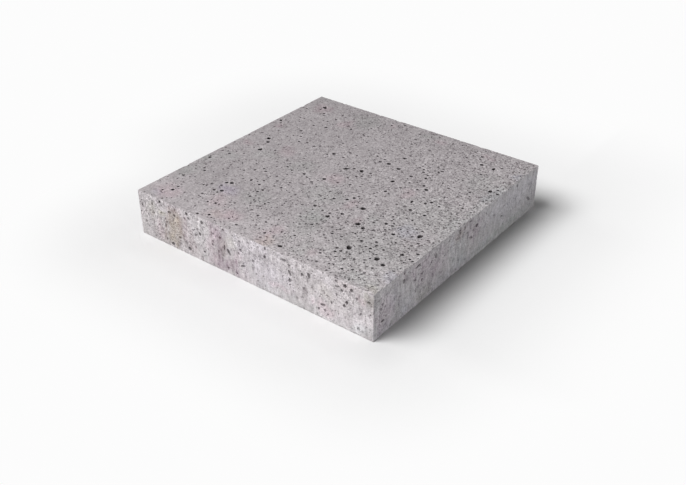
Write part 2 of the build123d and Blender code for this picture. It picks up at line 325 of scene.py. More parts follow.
def rim_towards(pore, angle):
    """How far the rim of a pore is from its middle in that direction."""
    off = angle - pore.turn
    return pore.mouth * pore.stretch / 2 / math.hypot(math.cos(off), pore.stretch * math.sin(off))


class Crowd:
    """The pores of one sheet, kept apart from each other, with how much shade and dirt is painted on each
    kind of floor.
    """

    def __init__(self, sheet, seed, shade_and_dirt_of_kinds):
        self.sheet = sheet
        self.shade_and_dirt_of_kinds = dict(zip(kinds, shade_and_dirt_of_kinds))
        self.rng = random.Random(seed)
        self.pores = []
        self.cells = {}

    def near(self, across, up):
        column, row = int(across // map_cell), int(up // map_cell)
        for i in range(column - cells_to_search, column + cells_to_search + 1):
            for j in range(row - cells_to_search, row + cells_to_search + 1):
                yield from self.cells.get((i, j), ())

    def fits(self, new):
        """Whether the rim stays clear of the arrises and of the other pores."""
        wide = new.mouth / 2 * math.hypot(new.stretch * math.cos(new.turn), math.sin(new.turn))
        high = new.mouth / 2 * math.hypot(new.stretch * math.sin(new.turn), math.cos(new.turn))
        if min(new.across, self.sheet.wide - new.across) < wide + edge_band:
            return False
        if min(new.up, self.sheet.high - new.up) < high + edge_band:
            return False
        for old in self.near(new.across, new.up):
            across, up = old.across - new.across, old.up - new.up
            angle = math.atan2(up, across)
            if math.hypot(across, up) < rim_towards(new, angle) + rim_towards(old, angle) + rim_gap:
                return False
        return True

    def add(self, dark, across, up, mouth, stretch=1, turn=0):
        """Adds a pore if there is room. One with more painted shade and dirt is also deeper."""
        pore = Pore(across, up, mouth, stretch, math.radians(turn), 0, dark)
        if not self.fits(pore):
            return False
        pore = pore._replace(depth=self.rng.uniform(0.8, 1.2) * (0.25 + 0.75 * dark))
        self.pores.append(pore)
        self.cells.setdefault((int(across // map_cell), int(up // map_cell)), []).append(pore)
        return True

    def place(self, listed):
        for kind, pores in listed.items():
            for across, up, mouth, *shape in pores:
                dark = self.shade_and_dirt_of_kinds[kind] * self.rng.uniform(0.92, 1.08)
                if not self.add(dark, across, up, mouth * lip[kind], *shape):
                    print("no room on", self.sheet.name, "for the pore at", across, up)

    def scatter(self, count, smallest, largest, density):
        """Small and round pores are the common ones, so most draws are near those."""
        made = 0
        for _ in range(count * tries_for_each):
            if made == count:
                break
            across = self.rng.uniform(0, self.sheet.wide)
            up = self.rng.uniform(0, self.sheet.high)
            mouth = smallest + (largest - smallest) * self.rng.random() ** 1.6
            stretch = 1 + 0.7 * self.rng.random() ** 3
            if self.rng.random() < density(across / self.sheet.wide, up / self.sheet.high):
                dark = self.rng.uniform(self.shade_and_dirt_of_kinds["shallow"], self.shade_and_dirt_of_kinds["deep"])
                made += self.add(dark, across, up, mouth, stretch, self.rng.uniform(-90, 90))


def clusters(across, up, size, seed):
    """A soft map from 0 to 1 of where pores gather."""
    return min(1, max(0, 0.5 + 0.9 * noise.noise(Vector((across * size, up * size, seed)))))


def walking_density(across, up):
    """More pores towards the corner where the front meets the right side."""
    slope = 0.22 + 0.78 * max(0, min(1, 0.45 + 0.8 * (across - 0.5) - 0.20 * (up - 0.5)))
    return slope * (0.35 + 0.65 * clusters(across, up, 9, 3.1))


def side_density(across, up):
    """Air rises while the mix is wet, so the upper half of a side has more pores."""
    return (0.25 + 0.75 * up) * (0.3 + 0.7 * clusters(across, up, 8, 7.7))


def bed_density(across, up):
    return 0.4 + 0.6 * clusters(across, up, 6, 5.5)


# What is scattered: how many, and the smallest and the largest mouth in millimetres
many = [(80, 2.4, 3.0), (400, 1.9, 2.5), (560, 1.5, 2.0), (260, 1.0, 1.5)]
some = [(20, 2.2, 3.0), (90, 1.5, 2.2), (120, 1.0, 1.5)]
few = [(8, 2.2, 3.0), (40, 1.5, 2.2), (80, 1.0, 1.5)]
# For each sheet: what is listed, what is scattered, where, and the painted shade and dirt of the three kinds
plans = {
    "walking": (walking_pores, many, walking_density, (1.0, 0.77, 0.63)),
    "front": (front_pores, some, side_density, (0.65, 0.55, 0.39)),
    "right": (right_pores, few, side_density, (0.57, 0.50, 0.20)),
    "back": (front_pores, some, side_density, (0.65, 0.55, 0.39)),
    "left": (right_pores, few, side_density, (0.62, 0.52, 0.34)),
    "bed": ({}, [(60, 1.6, 4.5)], bed_density, (0.8, 0.7, 0.6)),
}
crowds = {}
for seed, sheet in enumerate(sheets):
    listed, amounts, density, shade_and_dirt_of_kinds = plans[sheet.name]
    crowd = crowds[sheet.name] = Crowd(sheet, seed, shade_and_dirt_of_kinds)
    crowd.place(listed)
    for amount in amounts:
        crowd.scatter(*amount, density)
print("pores:", {name: len(crowd.pores) for name, crowd in crowds.items()})

# %% [markdown]
# ## The shape of a pore
#
# A blowhole is a bubble that was cut open by the mould face, so its wall drops steeply behind a thin
# lip and its floor is a bowl. Each pore is a few rings of points. A ring has one radius for laying it
# out flat, where the rings have to stay apart for the triangles to be sound, and another for where
# its points really go, close behind the lip. Radius and depth are shares of half the mouth. The
# shade and dirt of a ring is how dark its colour is painted there: painted shade, with some dirt. It
# is below nothing outside the rim, where the real lips are a little paler.

# %% Rings of a pore
Ring = namedtuple("Ring", "flat real deep dark rim")
blowhole_rings = [
    Ring(1.16, 1.16, 0.00, -0.5, False),
    Ring(1.00, 1.00, 0.07, 0.1, True),
    Ring(0.80, 0.94, 0.42, 1.0, False),
    Ring(0.58, 0.80, 0.82, 1.0, False),
    Ring(0.32, 0.46, 1.10, 1.0, False),
    Ring(0.00, 0.00, 1.20, 1.0, False),
]
small_pore_rings = [
    Ring(1.00, 1.00, 0.00, 0.2, True),
    Ring(0.68, 0.90, 0.50, 1.0, False),
    Ring(0.34, 0.50, 0.98, 1.0, False),
    Ring(0.00, 0.00, 1.10, 1.0, False),
]
pinhole_rings = [
    Ring(1.00, 1.00, 0.00, 0.0, True),
    Ring(0.50, 0.62, 0.75, 1.0, False),
    Ring(0.00, 0.00, 1.00, 1.0, False),
]


def rings_for(mouth):
    """Rings, and points in a ring, for a pore of that width."""
    if mouth >= 3.3:
        return blowhole_rings, 13
    if mouth >= 1.5:
        return small_pore_rings, 8 if mouth > 2.4 else 7
    return pinhole_rings, 5


def pore_points(pore, rng):
    """Yields, for each ring, the ring and its points as offsets from the pore's middle."""
    rings, count = rings_for(pore.mouth)
    start = rng.uniform(0, math.tau)
    bulges = [(k, rng.uniform(0, 0.13), rng.uniform(0, math.tau)) for k in (2, 3, 5)]
    c, s = math.cos(pore.turn), math.sin(pore.turn)
    for ring in rings:
        points = []
        for n in range(count if ring.flat else 1):
            angle = start + math.tau * n / count
            bulge = 1 + sum(size * math.cos(k * angle + phase) for k, size, phase in bulges)
            radius = pore.mouth / 2 * bulge
            long, wide = radius * pore.stretch * math.cos(angle), radius * math.sin(angle)
            points.append((long * c - wide * s, long * s + wide * c))
        yield ring, points


print("rings in a blowhole:", len(blowhole_rings), "and in a pinhole:", len(pinhole_rings))

# %% [markdown]
# ## Triangulating a sheet
#
# The points of a sheet are its pores, rows along its edges and a loose scatter between. Blender's
# Delaunay routine joins them into even triangles and keeps the rim of each pore as an edge. Both
# sheets at an arris share the same stations along it, so their points can be merged afterwards and
# the skin closes. Each row along an edge has its distance from the arris and how many stations apart
# its points are.

# %% Points of a sheet
arris_radius = 0.5
# 0.586 is 2 less the square root of 2, where a rounding between two faces is halfway round
arris_rows = [(0, 1), (arris_radius * 0.586, 1), (arris_radius, 1), (1.7, 1), (2.9, 2)]
loose_spacing = {"walking": 4.8, "bed": 13}
side_spacing = 2.9
loose_from_edge = 4.2


def from_edge(sheet, across, up):
    return min(across, up, sheet.wide - across, sheet.high - up)


def edge_points(sheet, rng):
    """Rows of points along the four edges. The first row is the arris itself."""
    for row, (inset, every) in enumerate(arris_rows):
        for edge, step in enumerate(sheet.steps):
            length = sheet.wide if edge % 2 == 0 else sheet.high
            count = round(length / step / every)
            for n in range(count):
                at = length * n / count
                if row:
                    at = length * (n + 0.5) / count + rng.uniform(-0.2, 0.2) * step
                if row and not inset * 1.4 < at < length - inset * 1.4:
                    continue
                if edge in (2, 3):
                    at = length - at
                yield {
                    0: (at, inset),
                    1: (sheet.wide - inset, at),
                    2: (at, sheet.high - inset),
                    3: (inset, at),
                }[edge]


def loose_points(sheet, rng):
    """A jittered grid, without the points that come near an edge."""
    spacing = loose_spacing.get(sheet.name, side_spacing)
    columns, rows = round(sheet.wide / spacing), round(sheet.high / spacing)
    for i in range(1, columns):
        for j in range(1, rows):
            across = sheet.wide * (i + rng.uniform(-0.3, 0.3)) / columns
            up = sheet.high * (j + rng.uniform(-0.3, 0.3)) / rows
            if from_edge(sheet, across, up) > loose_from_edge:
                yield across, up


def clear_of_pores(crowd, across, up):
    return all(
        math.hypot(across - p.across, up - p.up) > p.mouth * p.stretch * 0.6 + 0.3
        for p in crowd.near(across, up)
    )


def skin_of(sheet):
    """Triangulates a sheet. Returns points in millimetres, depth, painted shade and dirt, border and
    triangles.
    """
    crowd = crowds[sheet.name]
    rng = random.Random(sheet.name)
    flat, real, depth, dark, border, rims = [], [], [], [], [], []

    def keep(flat_point, real_point, deep=0, more_shade_and_dirt=0, on_border=False):
        flat.append(Vector(flat_point))
        real.append(real_point)
        depth.append(deep)
        dark.append(more_shade_and_dirt)
        border.append(on_border)

    for point in edge_points(sheet, rng):
        on_border = from_edge(sheet, *point) < 1e-6
        if on_border or clear_of_pores(crowd, *point):
            keep(point, point, on_border=on_border)
    for point in loose_points(sheet, rng):
        if clear_of_pores(crowd, *point):
            keep(point, point)
    for pore in crowd.pores:
        for ring, points in pore_points(pore, rng):
            first, count = len(flat), len(points)
            for x, y in points:
                keep(
                    (pore.across + x * ring.flat, pore.up + y * ring.flat),
                    (pore.across + x * ring.real, pore.up + y * ring.real),
                    ring.deep * pore.depth * pore.mouth / 2,
                    ring.dark * pore.dark,
                )
            if ring.rim:
                rims += [(first + n, first + (n + 1) % count) for n in range(count)]
    found, _, triangles, origins, *_ = geometry.delaunay_2d_cdt(flat, rims, [], 0, 1e-6, True)
    assert len(found) == len(flat), f"{sheet.name}: rims of pores cross"
    source = np.array([origin[0] for origin in origins])
    real = np.array(real)
    points = sheet.corner + real[:, :1] * sheet.along + real[:, 1:] * sheet.up
    return points, np.array(depth), np.array(dark), np.array(border), source[np.array(triangles)]


skins = {sheet.name: skin_of(sheet) for sheet in sheets}
print("triangles:", {name: len(skin[4]) for name, skin in skins.items()})

# %% [markdown]
# ## One closed skin
#
# The six sheets are stacked into one list of points, and the points that two or three of them share
# along an arris are merged. Each point remembers which way its sheet faces, which the finish needs
# later. A closed skin has every edge in exactly two triangles, so that is counted.

# %% Join the sheets
points, depth, dark, border, triangles = (list(part) for part in zip(*skins.values()))
facing = [np.tile(np.cross(s.along, s.up), (len(p), 1)) for s, p in zip(sheets, points)]
triangles = [t + sum(len(p) for p in points[:n]) for n, t in enumerate(triangles)]
points, facing, triangles = np.vstack(points), np.vstack(facing).astype(float), np.vstack(triangles)
depth, dark, border = np.concatenate(depth), np.concatenate(dark), np.concatenate(border)

merge_within = 0.01
merged = np.arange(len(points))
border_at = np.flatnonzero(border)
keys = np.round(points[border_at] / merge_within).astype(int)
_, first, group = np.unique(keys, axis=0, return_index=True, return_inverse=True)
merged[border_at] = border_at[first][group.ravel()]
summed = np.zeros_like(facing)
np.add.at(summed, merged, facing)
kept = np.unique(merged)
renumber = np.full(len(points), -1)
renumber[kept] = np.arange(len(kept))
triangles = renumber[merged[triangles]]
points, depth, dark = points[kept], depth[kept], dark[kept]
facing = summed[kept] / np.linalg.norm(summed[kept], axis=1, keepdims=True)

edges = np.sort(triangles[:, [0, 1, 1, 2, 2, 0]].reshape(-1, 2), axis=1)
_, uses = np.unique(edges, axis=0, return_counts=True)
print("points:", len(points), "triangles:", len(triangles), "open edges:", int((uses != 2).sum()))

# %% [markdown]
# ## Worn arrises
#
# So far the skin is a sharp box. Each point is pulled to a smaller box inside it and pushed out again
# by the arris radius, which rounds every arris at once. The faces wander by a tenth of a millimetre,
# always inwards, so that the slab stays inside its size, and the pores are sunk. Last come the scars:
# a chip leaves a hollow like the cap of a ball, so each ball that touches an arris pushes the points
# inside it out to its own surface. The large nicks of the top arris are where the solid has them, in
# per cent of the side, and the small ones are scattered.

# %% Round and scar the arrises
low, high = np.array((-half, -half, 0)), np.array((half, half, thickness))
inner = np.clip(points, low + arris_radius, high - arris_radius)
outward = points - inner
outward /= np.linalg.norm(outward, axis=1, keepdims=True)


def wander(point, size, seed):
    """Smooth noise from -1 to 1 whose waves are about that many millimetres long."""
    return noise.noise(Vector(point) / size + Vector((seed, seed, seed)))


sunk = np.array([0.09 + 0.09 * wander(p, 45, 1) + 0.035 * wander(p, 6, 2) for p in points])
shaped = inner + outward * arris_radius - outward * np.clip(sunk, 0, None)[:, None]
shaped -= facing * depth[:, None]

Nick = namedtuple("Nick", "at out length ratio")
nick_depth_ratio = 0.12
top_nicks = {
    "front": [(31, 7), (58.3, 9), (69.5, 7), (96.5, 10)],
    "right": [(15.4, 9), (53.2, 10), (72.6, 8), (80, 11)],
    "back": [(24, 8), (61, 10), (88, 7)],
    "left": [(12, 10), (45, 7), (77, 9)],
}
small_nick_every, corner_margin = 9, 7


def arrises(sheet):
    """The top, foot and right-hand arris of a side: start, direction, length and way out."""
    out = np.cross(sheet.along, sheet.up)
    end = sheet.corner + sheet.along * sheet.wide
    yield sheet.corner + sheet.up * sheet.high, sheet.along, sheet.wide, out + sheet.up
    yield sheet.corner, sheet.along, sheet.wide, out - sheet.up
    yield end, sheet.up, sheet.high, out + sheet.along


def all_nicks():
    rng = random.Random(12)
    for sheet in sides:
        (start, along, length, out), *_ = arrises(sheet)
        for per_cent, size in top_nicks[sheet.name]:
            at = start + along * length * per_cent / 100
            yield Nick(at, out / math.sqrt(2), size, nick_depth_ratio)
        for start, along, length, out in arrises(sheet):
            for _ in range(round(length / small_nick_every)):
                at = start + along * rng.uniform(corner_margin, length - corner_margin)
                size = 1.4 + 3.6 * rng.random() ** 2.5
                yield Nick(at, out / math.sqrt(2), size, rng.uniform(0.12, 0.24))


def scar(shaped, nick):
    """Pushes the points inside a ball out to its surface. The ball dips into the arris."""
    deep = nick.length * nick.ratio
    radius = (nick.length**2 / 4 + deep**2) / (2 * deep)
    middle = nick.at + nick.out * (radius - deep)
    reach = np.linalg.norm(shaped - middle, axis=1)
    inside = reach < radius
    shaped[inside] = middle + (shaped[inside] - middle) * (radius / reach[inside])[:, None]
    return int(inside.sum())


nicks = list(all_nicks())
touched = sum(scar(shaped, nick) for nick in nicks)
shaped = np.clip(shaped, low, high)
print("nicks:", len(nicks), "points they moved:", touched)

# %% [markdown]
# ## Stains that have a place
#
# Blotches wider than a few millimetres don't need a texture: the points of the skin are close enough
# to hold them. Each is a soft oval on one face, with its middle across and up, its reach each way and
# what it multiplies the colour of the concrete by, one number where it is only paler or darker. The
# ovals are warped by noise so that none shows as an oval. The noise is drawn out upright, because on
# a side the cement milk ran down. The stains of the unseen sides are those of the seen ones mirrored.
# The pale ovals low along the foot of the right side, and their mirror on the left, are no stains but
# painted light, which lifts the shade at the foot.

# %% Paint the stains
pink, mauve, blue = (1.030, 0.962, 0.982), (0.850, 0.790, 0.825), (0.955, 0.975, 1.020)
green, pale, stone = (0.940, 0.965, 0.950), (1.12, 1.12, 1.13), (0.90, 0.91, 0.895)
dim, rose = (0.84, 0.83, 0.83), (1.03, 0.975, 0.99)
brown, olive = (0.80, 0.75, 0.72), (0.90, 0.90, 0.82)
stains = {
    "walking": [
        (30, 316, 17, 14, pink), (82, 296, 14, 14, pink), (137, 331, 9, 7, pink), (216, 330, 10, 9, pink),
        (290, 330, 9, 7, pink), (17, 239, 10, 8, pink), (72, 184, 12, 18, pink), (16, 176, 11, 9, pink),
        (168, 166, 19, 15, pink), (263, 187, 11, 12, pink), (220, 130, 9, 15, pink),
        (250, 108, 7, 12, pink), (94, 44, 17, 22, pink), (132, 28, 18, 14, pink), (30, 22, 22, 20, pink),
        (190, 30, 15, 14, pink), (252, 24, 10, 10, pink), (84, 66, 19, 13, (0.965, 0.945, 1.035)),
        (22, 8, 8, 8, blue), (112, 16, 12, 10, (1.02, 0.985, 0.965)),
        (196, 10, 14, 12, (1.02, 0.985, 0.94)), (308, 118, 15, 16, blue), (205, 84, 18, 18, green),
        (344, 303, 8, 12, blue), (342, 246, 9, 25, (0.955, 0.985, 0.995)), (345, 36, 8, 13, blue),
        (105, 320, 24, 26, green), (196, 336, 16, 15, green), (120, 165, 22, 20, green),
        (60, 164, 22, 18, green), (22, 130, 22, 16, green), (12, 74, 16, 26, green),
        (185, 128, 34, 24, green), (126, 74, 24, 20, green), (300, 60, 60, 50, green),
        (310, 160, 50, 50, green), (318, 262, 26, 40, green), (342, 5, 9, 8, (0.98, 0.97, 0.92)),
        (20, 78, 30, 20, 0.96), (60, 66, 34, 22, 0.955), (348, 200, 12, 170, (0.975, 1.005, 0.995)),
        (262, 118, 16, 14, green), (214, 58, 20, 36, green), (240, 25, 14, 22, green),
        (325, 12, 28, 14, (0.95, 0.985, 0.965)), (8, 112, 14, 13, green),
        (8, 64, 14, 14, (0.955, 0.975, 0.965)), (118, 20, 26, 20, (1.015, 0.980, 0.988)),
        (36, 12, 18, 11, (1.012, 0.985, 0.995)), (188, 12, 15, 12, (1.015, 0.975, 0.985)),
        (137, 235, 20, 22, 1.07), (262, 84, 15, 14, 1.07), (310, 58, 15, 13, 1.10),
        (212, 112, 14, 13, 1.08), (137, 38, 15, 12, 0.93), (112, 174, 26, 24, 0.955),
        (118, 118, 17, 14, 0.955), (175, 62, 22, 12, 0.94), (48, 89, 25, 13, 0.92), (80, 36, 90, 12, 0.965),
        (10, 10, 13, 13, 0.92), (162, 255, 14, 12, 0.955), (285, 160, 40, 60, 1.015),
        (306, 186, 22, 15, 1.05), (285, 112, 44, 15, (1.045, 1.05, 1.05)), (236, 86, 18, 12, 1.05),
        (168, 60, 16, 12, 0.95), (148, 38, 22, 12, 0.955), (342, 10, 13, 13, (0.92, 0.93, 0.92)),
        (312, 341, 13, 10, 0.95), (170, 260, 20, 13, 0.955), (137, 214, 14, 14, 1.05),
        (200, 88, 26, 12, (0.98, 1, 0.992)), (10, 345, 30, 10, (0.975, 1, 0.99)),
        (8, 112, 13, 13, (0.965, 0.985, 0.975)),
    ],
    "front": [
        (6, 12, 7, 16, stone), (22, 10, 9, 12, 0.93), (16, 46, 12, 10, stone), (34, 18, 12, 16, rose),
        (44.5, 30, 3.4, 34, brown), (39, 43, 6, 5, olive), (59, 31, 17, 24, (0.860, 0.820, 0.755)),
        (56, 14, 9, 9, (1.05, 1.05, 1.00)), (65, 36, 6, 3.4, (1.22, 1.21, 1.18)), (72, 32, 5, 16, brown),
        (80, 28, 7, 24, (0.96, 0.91, 0.92)), (62, 52, 16, 8, (0.92, 0.89, 0.90)), (76, 10, 12, 7, dim),
        (103, 40, 14, 24, (1.02, 1.03, 1.03)), (114, 30, 5, 22, (1.06, 1.05, 1.06)),
        (120, 36, 10, 46, (0.935, 0.885, 0.910)), (134, 36, 10, 46, (0.935, 0.885, 0.910)),
        (138, 42, 6, 12, (0.86, 0.84, 0.83)), (133, 24, 8, 9, (0.88, 0.86, 0.86)),
        (112, 10, 10, 9, (0.985, 1.005, 1)), (138, 10, 8, 14, (0.90, 0.87, 0.90)), (151, 12, 15, 12, mauve),
        (149, 42, 9, 10, (1.18, 1.20, 1.15)), (160, 28, 8, 10, rose), (163, 50, 11, 12, pale),
        (171, 8, 10, 12, (1.06, 1.04, 1.05)), (212, 28, 34, 20, (1.115, 1.12, 1.13)),
        (196, 52, 22, 10, pale), (222, 14, 20, 4.5, rose), (184, 24, 5, 14, stone),
        (208, 27, 13, 8, (1.06, 1.06, 1.065)), (250, 10, 12, 12, 0.92), (259, 27, 7, 8, dim),
        (284, 34, 17, 13, (0.95, 0.95, 0.93)), (288, 52, 18, 8, (1.04, 1.04, 1.05)), (298, 37, 6, 6, pale),
        (268, 16, 10, 8, pale), (288, 15, 17, 10, pink), (306, 8, 40, 11, (1.14, 1.14, 1.15)),
        (336, 20, 16, 24, (1.07, 1.07, 1.08)), (312, 12, 14, 12, 1.07),
        (334, 48, 11, 7, (1.03, 0.96, 0.97)), (347, 54, 9, 11, (0.77, 0.77, 0.73)),
        (333, 57, 8, 5, (0.91, 0.90, 0.89)), (312, 54, 16, 7, (1.04, 1.01, 1.01)), (50, 20, 30, 26, 0.95),
        (140, 16, 36, 22, 0.955), (285, 34, 50, 40, 1.06), (212, 8, 12, 12, 1.08), (188, 50, 12, 10, 1.10),
        (50, 10, 34, 14, (0.91, 0.90, 0.89)), (12, 50, 14, 12, 1.12), (12, 30, 12, 10, 1.06),
        (45, 54, 26, 8, (0.93, 0.92, 0.93)), (42, 30, 18, 12, (0.93, 0.93, 0.92)), (283, 50, 18, 10, 1.085),
        (245, 52, 34, 8, 1.06), (136, 34, 14, 20, 0.93), (22, 30, 4, 16, (0.92, 0.91, 0.90)),
        (31, 30, 3, 24, pale), (50, 40, 3, 18, (0.90, 0.86, 0.84)), (88, 26, 3, 20, (0.90, 0.86, 0.86)),
        (93, 40, 3, 16, pale), (119, 36, 3, 20, (0.95, 0.91, 0.93)), (126, 30, 2.6, 22, (1.08, 1.03, 1.05)),
        (141, 30, 2.6, 16, (0.84, 0.82, 0.80)), (60, 28, 13, 12, (1.10, 1.09, 1.05)),
        (88, 28, 12, 10, 0.95), (131, 52, 12, 10, (1, 0.965, 0.99)),
        (195, 32, 52, 46, (0.984, 0.985, 1.007)), (262, 2, 100, 12, (0.976, 1, 0.99)),
        (340, 6, 20, 10, (0.975, 1, 0.995)), (95, 10, 22, 10, 1.07), (338, 26, 16, 12, 1.04),
        (137, 46, 22, 26, (1, 1, 1.01)), (10, 40, 12, 18, 1.04), (22, 40, 16, 12, (0.99, 0.995, 0.965)),
    ],
    # Painted light: the pale ovals low down along the foot lift the shade there.
    "right": [
        (20, 28, 24, 20, (1.00, 0.960, 0.985)), (46, 34, 18, 18, (0.97, 0.98, 0.985)),
        (34, 30, 6, 20, (0.94, 0.93, 0.95)), (58, 16, 20, 12, (1.02, 1.04, 1.05)),
        (70, 50, 34, 12, (0.99, 0.95, 0.975)), (105, 40, 36, 20, (0.95, 0.91, 0.94)),
        (108, 22, 10, 14, (0.94, 0.92, 0.94)), (128, 26, 18, 14, (0.98, 0.95, 0.975)),
        (94, 8, 22, 9, (0.95, 0.95, 0.91)), (27, 40, 3, 20, pale), (39, 36, 2.6, 22, (0.90, 0.89, 0.91)),
        (160, 26, 24, 22, (0.96, 0.98, 0.985)), (165, 52, 16, 8, (0.92, 0.91, 0.87)),
        (146, 46, 8, 14, (1.03, 1.05, 1.06)), (195, 40, 20, 16, (0.96, 0.91, 0.94)),
        (176, 52, 32, 12, (0.85, 0.85, 0.86)), (66, 8, 24, 12, 1.06), (50, 0, 70, 7, 1.07),
        (280, 38, 90, 30, (0.99, 0.985, 1.01)), (290, 46, 52, 18, (1.03, 1.03, 1.04)),
        (340, 30, 20, 18, (0.87, 0.87, 0.88)), (175, 7, 200, 15, (1.06, 1.06, 1.055)),
        (262, 5, 80, 9, (0.97, 0.99, 0.95)), (49, 30, 3, 24, (0.93, 0.92, 0.93)), (72, 34, 2.6, 20, pale),
        (118, 34, 3, 18, (0.92, 0.89, 0.91)), (172, 24, 3, 20, (0.93, 0.94, 0.94)),
        (24, 26, 30, 30, (1, 0.995, 1.006)), (175, 52, 30, 10, (1.01, 0.995, 1)),
        (280, 20, 90, 60, (0.985, 1, 0.997)), (280, 5, 90, 12, (0.985, 1, 1.01)),
        (120, 4, 150, 14, (0.99, 0.995, 1.02)), (165, 10, 26, 12, (0.98, 1, 1)), (60, 30, 66, 15, 1.05),
        (75, 8, 60, 12, 1.06), (225, 8, 30, 10, 1.06), (288, 30, 14, 12, 1.06), (160, 54, 22, 8, 0.95),
        (312, 10, 14, 9, 1.05), (200, 8, 50, 10, (1.04, 1.045, 1.04)), (338, 52, 16, 8, 1.06),
        (165, 54, 34, 8, (1.01, 0.99, 1)), (10, 6, 14, 8, (0.94, 0.93, 0.94)),
    ],
}
tones = {
    "walking": (0.4404, 0.4067, 0.4182),
    "front": (0.503, 0.469, 0.480),
    "right": (0.441, 0.423, 0.436),
    "back": (0.460, 0.434, 0.443),
    "left": (0.460, 0.434, 0.443),
    "bed": (0.385, 0.366, 0.366),
}
drawn_out = 0.35
drawn = points.copy()
drawn[:, 2] = thickness + (points[:, 2] - thickness) * drawn_out
warp = np.array([[wander(p, 16, seed) for seed in (11, 18, 25)] for p in drawn]) * 9
lumps = np.array([wander(p, 6.5, 40) for p in drawn])


def mirrored(patches):
    """The same patches with left and right changed over."""
    return [(round(side) - across, *rest) for across, *rest in patches]


def smooth(value, start, end):
    """0 at start and 1 at end, with soft ends, as a ramp in the material has."""
    part = np.clip((value - start) / (end - start), 0, 1)
    return part * part * (3 - 2 * part)


def place_on(sheet, warped=True):
    """How far along and up the sheet each point of the skin is."""
    offset = points + warp * warped - sheet.corner
    return offset @ sheet.along, offset @ sheet.up


def oval(sheet, at_across, at_up, wide, high):
    """A patch: 1 in its middle, 0 outside, with an edge that is more broken on the sides."""
    across, up = place_on(sheet)
    away = np.hypot((across - at_across) / wide, (up - at_up) / high)
    return smooth(away - lumps * (0.3 if sheet is walking else 0.6), 1.15, 0.35)


def painted(sheet):
    """The sheet's tone with its stains on, at every point of the skin."""
    colour = np.tile(np.array(tones[sheet.name]), (len(points), 1))
    for *patch, by in stains.get(sheet.name, ()):
        colour *= 1 + oval(sheet, *patch)[:, None] * (np.array(by) - 1)
    return colour


stains["back"], stains["left"] = mirrored(stains["front"]), mirrored(stains["right"])
belongs = {s.name: np.clip(facing @ np.cross(s.along, s.up), 0, 1) ** 2 for s in sheets}
tint = sum(belongs[s.name][:, None] * painted(s) for s in sheets)
right_share, back_share = (part / side for part in place_on(walking, False))
# The walking face is paler at the front and the right and darker behind; the foot of the right side is
# painted paler, painted light that lifts the shade there
slope_and_painted_light = 0.14 * smooth(back_share, 0.20, 0.10) - 0.08 * smooth(back_share, 0.3, 0.95)
slope_and_painted_light += 0.07 * (right_share - 0.5) - 0.045 * smooth(back_share, 0.84, 0.92)
slope_and_painted_light *= belongs["walking"]
slope_and_painted_light += 0.24 * smooth(points[:, 2], 7, 0) * belongs["right"]
tint *= 1 + slope_and_painted_light[:, None]
print("mean tint of the skin:", np.round(tint.mean(axis=0), 3))

# %% [markdown]
# ## Where the cement skin is gone
#
# Two more maps say how the fine pattern changes over the slab. The first, worn, is 1 on the walking
# face, where the sand shows, and 0 on the smooth skin of a side. Along the top of a side the skin is
# broken away in a ragged strip, with a tone of its own, and here and there lower down it is thin. The
# second, grain, says how strongly the pattern shows. It changes along a side from one strength to
# another, and on the walking face it grows to the right.

# %% Paint worn and grain
worn_patches = {
    "front": [
        (60, 26, 18, 22, 0.50), (102, 28, 16, 24, 0.30), (235, 36, 16, 18, 0.6), (312, 46, 22, 16, 0.6),
        (22, 46, 18, 13, 0.45), (284, 32, 18, 14, 0.45), (180, 46, 18, 14, 0.4), (158, 46, 14, 14, 0.45),
        (166, 22, 12, 12, 0.5), (290, 12, 18, 10, 0.35), (210, 40, 14, 10, 0.5), (28, 26, 26, 30, 0.5),
        (84, 24, 14, 22, 0.4), (222, 20, 20, 14, 0.35),
    ],
    "right": [
        (14, 30, 16, 20, 0.5), (88, 40, 26, 14, 0.35), (156, 44, 16, 14, 0.4), (228, 46, 16, 10, 0.3),
        (300, 30, 60, 40, 0.25),
    ],
}
worn_patches["back"] = mirrored(worn_patches["front"])
worn_patches["left"] = mirrored(worn_patches["right"])
Skin = namedtuple("Skin", "strip_width strip_tone grain_here grain_there changes_from changes_to")
side_skins = {
    "front": Skin(4.0, 0.08, 1.20, 0.97, 80, 120),
    "right": Skin(1.4, -0.06, 1.04, 0.85, 130, 260),
    "back": Skin(4.0, 0.06, 0.9, 0.9, 90, 230),
    "left": Skin(2.5, 0.0, 0.8, 0.6, 90, 230),
}

worn = belongs["walking"] + belongs["bed"] * 0.5
grain = belongs["bed"] * 0.7
for sheet in sides:
    across, up = place_on(sheet, False)
    skin, here = side_skins[sheet.name], belongs[sheet.name]
    strip = smooth(up + lumps * skin.strip_width * 0.9, thickness - skin.strip_width, thickness - 0.4)
    tint *= 1 + (here * strip * skin.strip_tone)[:, None]
    bare = strip
    for *patch, bareness in worn_patches[sheet.name]:
        bare = np.maximum(bare, oval(sheet, *patch) * bareness)
    strength = smooth(across, skin.changes_from, skin.changes_to)
    strength = skin.grain_here + (skin.grain_there - skin.grain_here) * strength
    worn += here * bare
    grain += here * strength * (0.8 + 0.2 * up / thickness) * (1 - 0.3 * strip)
across, up = place_on(walking, False)
rightwards, frontwards = np.clip(across / side, 0, 1), np.clip(1 - up / side, 0, 1)
walking_grain = 0.53 + 0.38 * rightwards**1.5 - 0.05 * smooth(frontwards, 0.45, 0.75) + warp[:, 0] * 0.02
grain += belongs["walking"] * walking_grain
worn, grain = np.clip(worn, 0, 1), np.clip(grain, 0, 1.2)
print("mean worn:", round(worn.mean(), 3), "mean grain:", round(grain.mean(), 3))

